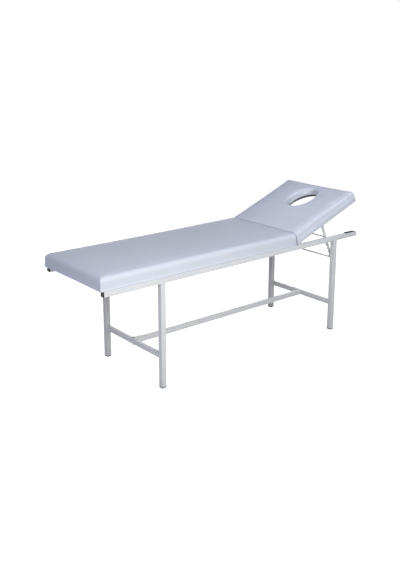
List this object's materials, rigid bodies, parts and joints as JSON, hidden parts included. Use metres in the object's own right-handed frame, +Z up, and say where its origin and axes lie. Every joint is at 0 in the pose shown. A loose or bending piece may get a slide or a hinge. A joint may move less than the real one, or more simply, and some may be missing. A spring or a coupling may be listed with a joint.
{
  "type": "massage table",
  "caption": "Two-section padded treatment couch with face hole on a square tube frame; the headrest tilts and is propped by notched arms on a rod.",
  "frame": {"origin": "on the floor, under the middle of the couch's overall length and width", "axes": "+X from the foot end to the head end, +Y from the near side to the far side, +Z up"},
  "size_m": [1.915, 0.576, 0.8811],
  "materials": {
    "enamel": "pale grey white powder coat, semi-gloss",
    "vinyl": "pale lavender grey upholstery vinyl, fine grain, satin",
    "foam": "open-cell polyurethane foam",
    "plywood": "unfinished plywood",
    "black_plastic": "moulded black polyethylene, matte",
    "rubber": "black rubber, matte",
    "zinc_steel": "zinc-plated steel",
    "dark_steel": "dark plated steel"
  },
  "bodies": {
    "frame": {"side_rail_near": "enamel", "side_rail_far": "enamel", "foot_leg_near": "enamel", "foot_leg_far": "enamel", "head_leg_near": "enamel", "head_leg_far": "enamel", "foot_cross_rail": "enamel", "head_cross_rail": "enamel", "stretcher": "enamel", "stretcher_tongue": "enamel", "stretcher_bolt": "dark_steel", "stretcher_nut": "dark_steel", "foot_deck_tube": "enamel", "middle_deck_tube": "enamel", "hinge_deck_tube": "enamel", "rail_end_plugs": "black_plastic", "leg_feet": "black_plastic", "catch_rod": "enamel", "rest_buffers": "rubber", "main_board": "plywood", "main_foam": "foam", "main_cover": "vinyl", "pad_washers": "rubber", "pad_bolts": "zinc_steel", "tee_nuts": "zinc_steel", "fixed_hinge_leaves": "zinc_steel", "fixed_leaf_screws": "dark_steel", "hinge_pins": "dark_steel"},
    "headrest": {"moving_hinge_leaves": "zinc_steel", "moving_leaf_screws": "dark_steel", "headrest_board": "plywood", "headrest_foam": "foam", "headrest_cover": "vinyl", "arm_brackets": "zinc_steel", "bracket_screws": "dark_steel", "arm_pivot_pins": "zinc_steel", "pivot_clips": "dark_steel"},
    "arms": {"prop_arm_near": "enamel", "prop_arm_far": "enamel", "arm_spacer_rod": "enamel"}
  },
  "joints": [
    {"name": "headrest_tilt", "type": "hinge", "parent": "frame", "child": "headrest", "pos_m": [0.4165, 0, 0.6135], "axis": [0, 1, 0], "range_deg": [0, 20.6]},
    {"name": "arm_swing", "type": "hinge", "parent": "headrest", "child": "arms", "pos_m": [0.67172, 0, 0.69647], "axis": [0, 1, 0], "range_deg": [-53.6, 0]}
  ],
  "couplings": [
    {"joint": "arm_swing", "follows": "headrest_tilt", "ratio": -2.6}
  ]
}
